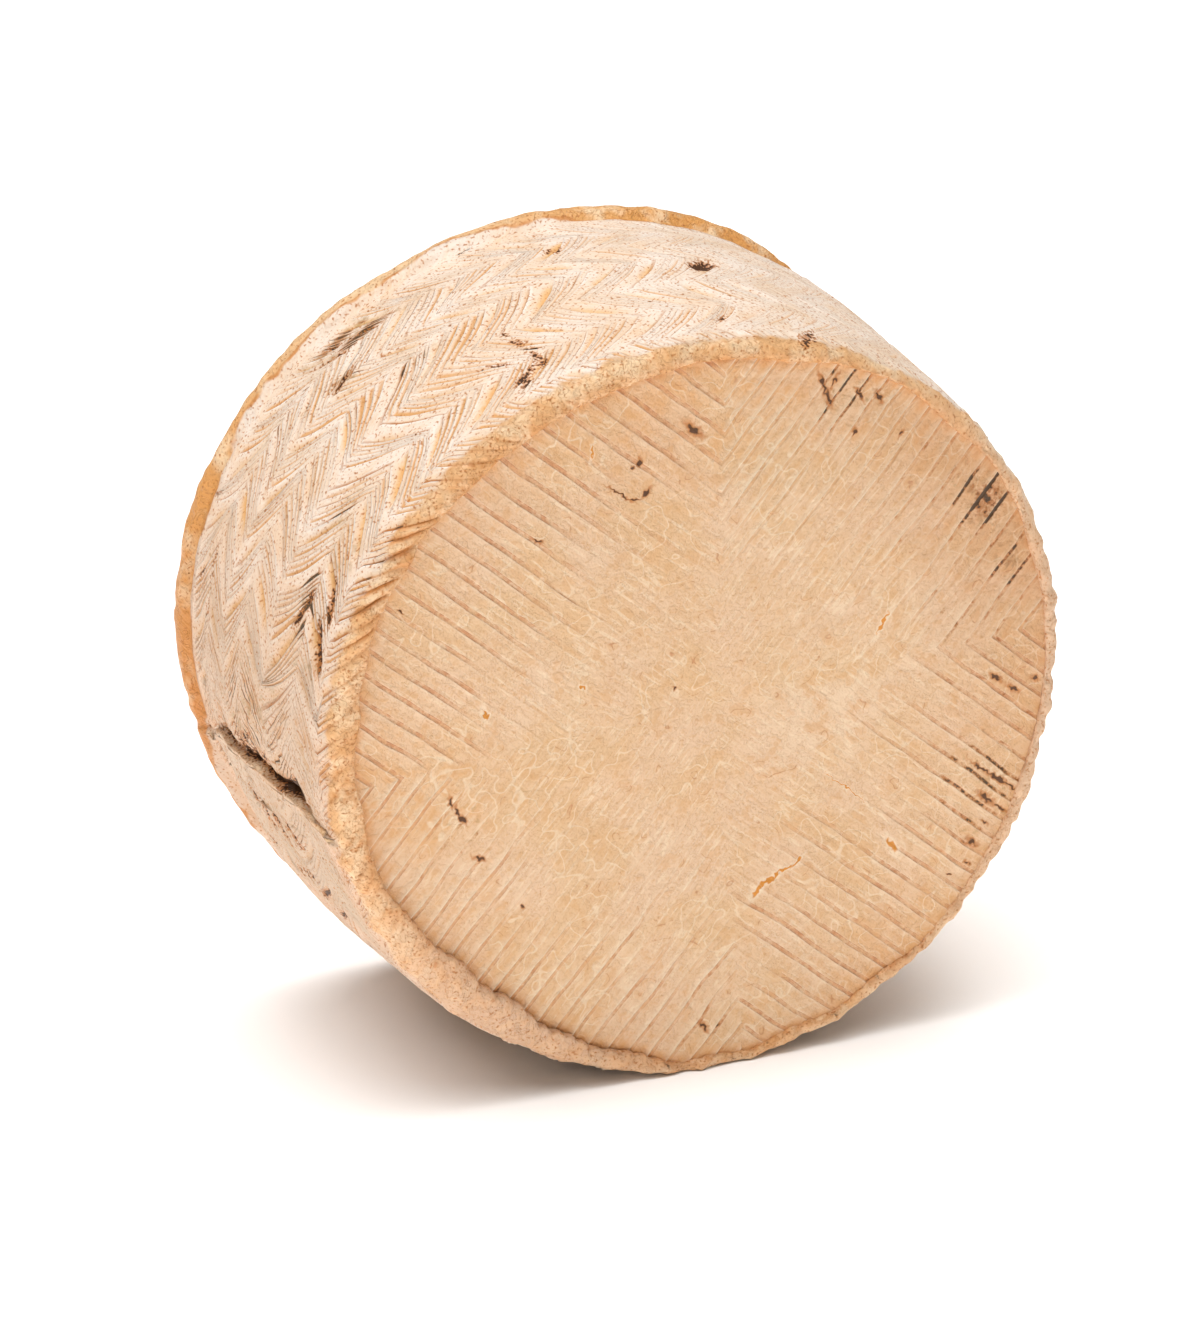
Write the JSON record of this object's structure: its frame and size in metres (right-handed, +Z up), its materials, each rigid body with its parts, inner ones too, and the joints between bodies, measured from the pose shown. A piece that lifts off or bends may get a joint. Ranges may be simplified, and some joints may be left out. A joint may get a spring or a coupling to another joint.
{
  "type": "aged goat cheese wheel",
  "caption": "Whole wheel of aged goat cheese, a tapered drum lying on its side, with a plaited-belt print round its wall, chevron ribs on its ends and a raised lip round each.",
  "frame": {"origin": "middle of the underside of the wheel's box, on the surface that the wheel lies on", "axes": "+Y runs from the ribbed front end to the back end along the drum, whose own axis rises by about 2 degrees towards the back; +Z is up and +X is to the right as seen from the front"},
  "size_m": [0.1998, 0.104, 0.1953],
  "materials": {
    "rind": "dry, slightly waxy rind, pale cream to straw, greyer with mould in the hollows"
  },
  "bodies": {
    "root": {"cheese": "rind"}
  },
  "joints": []
}
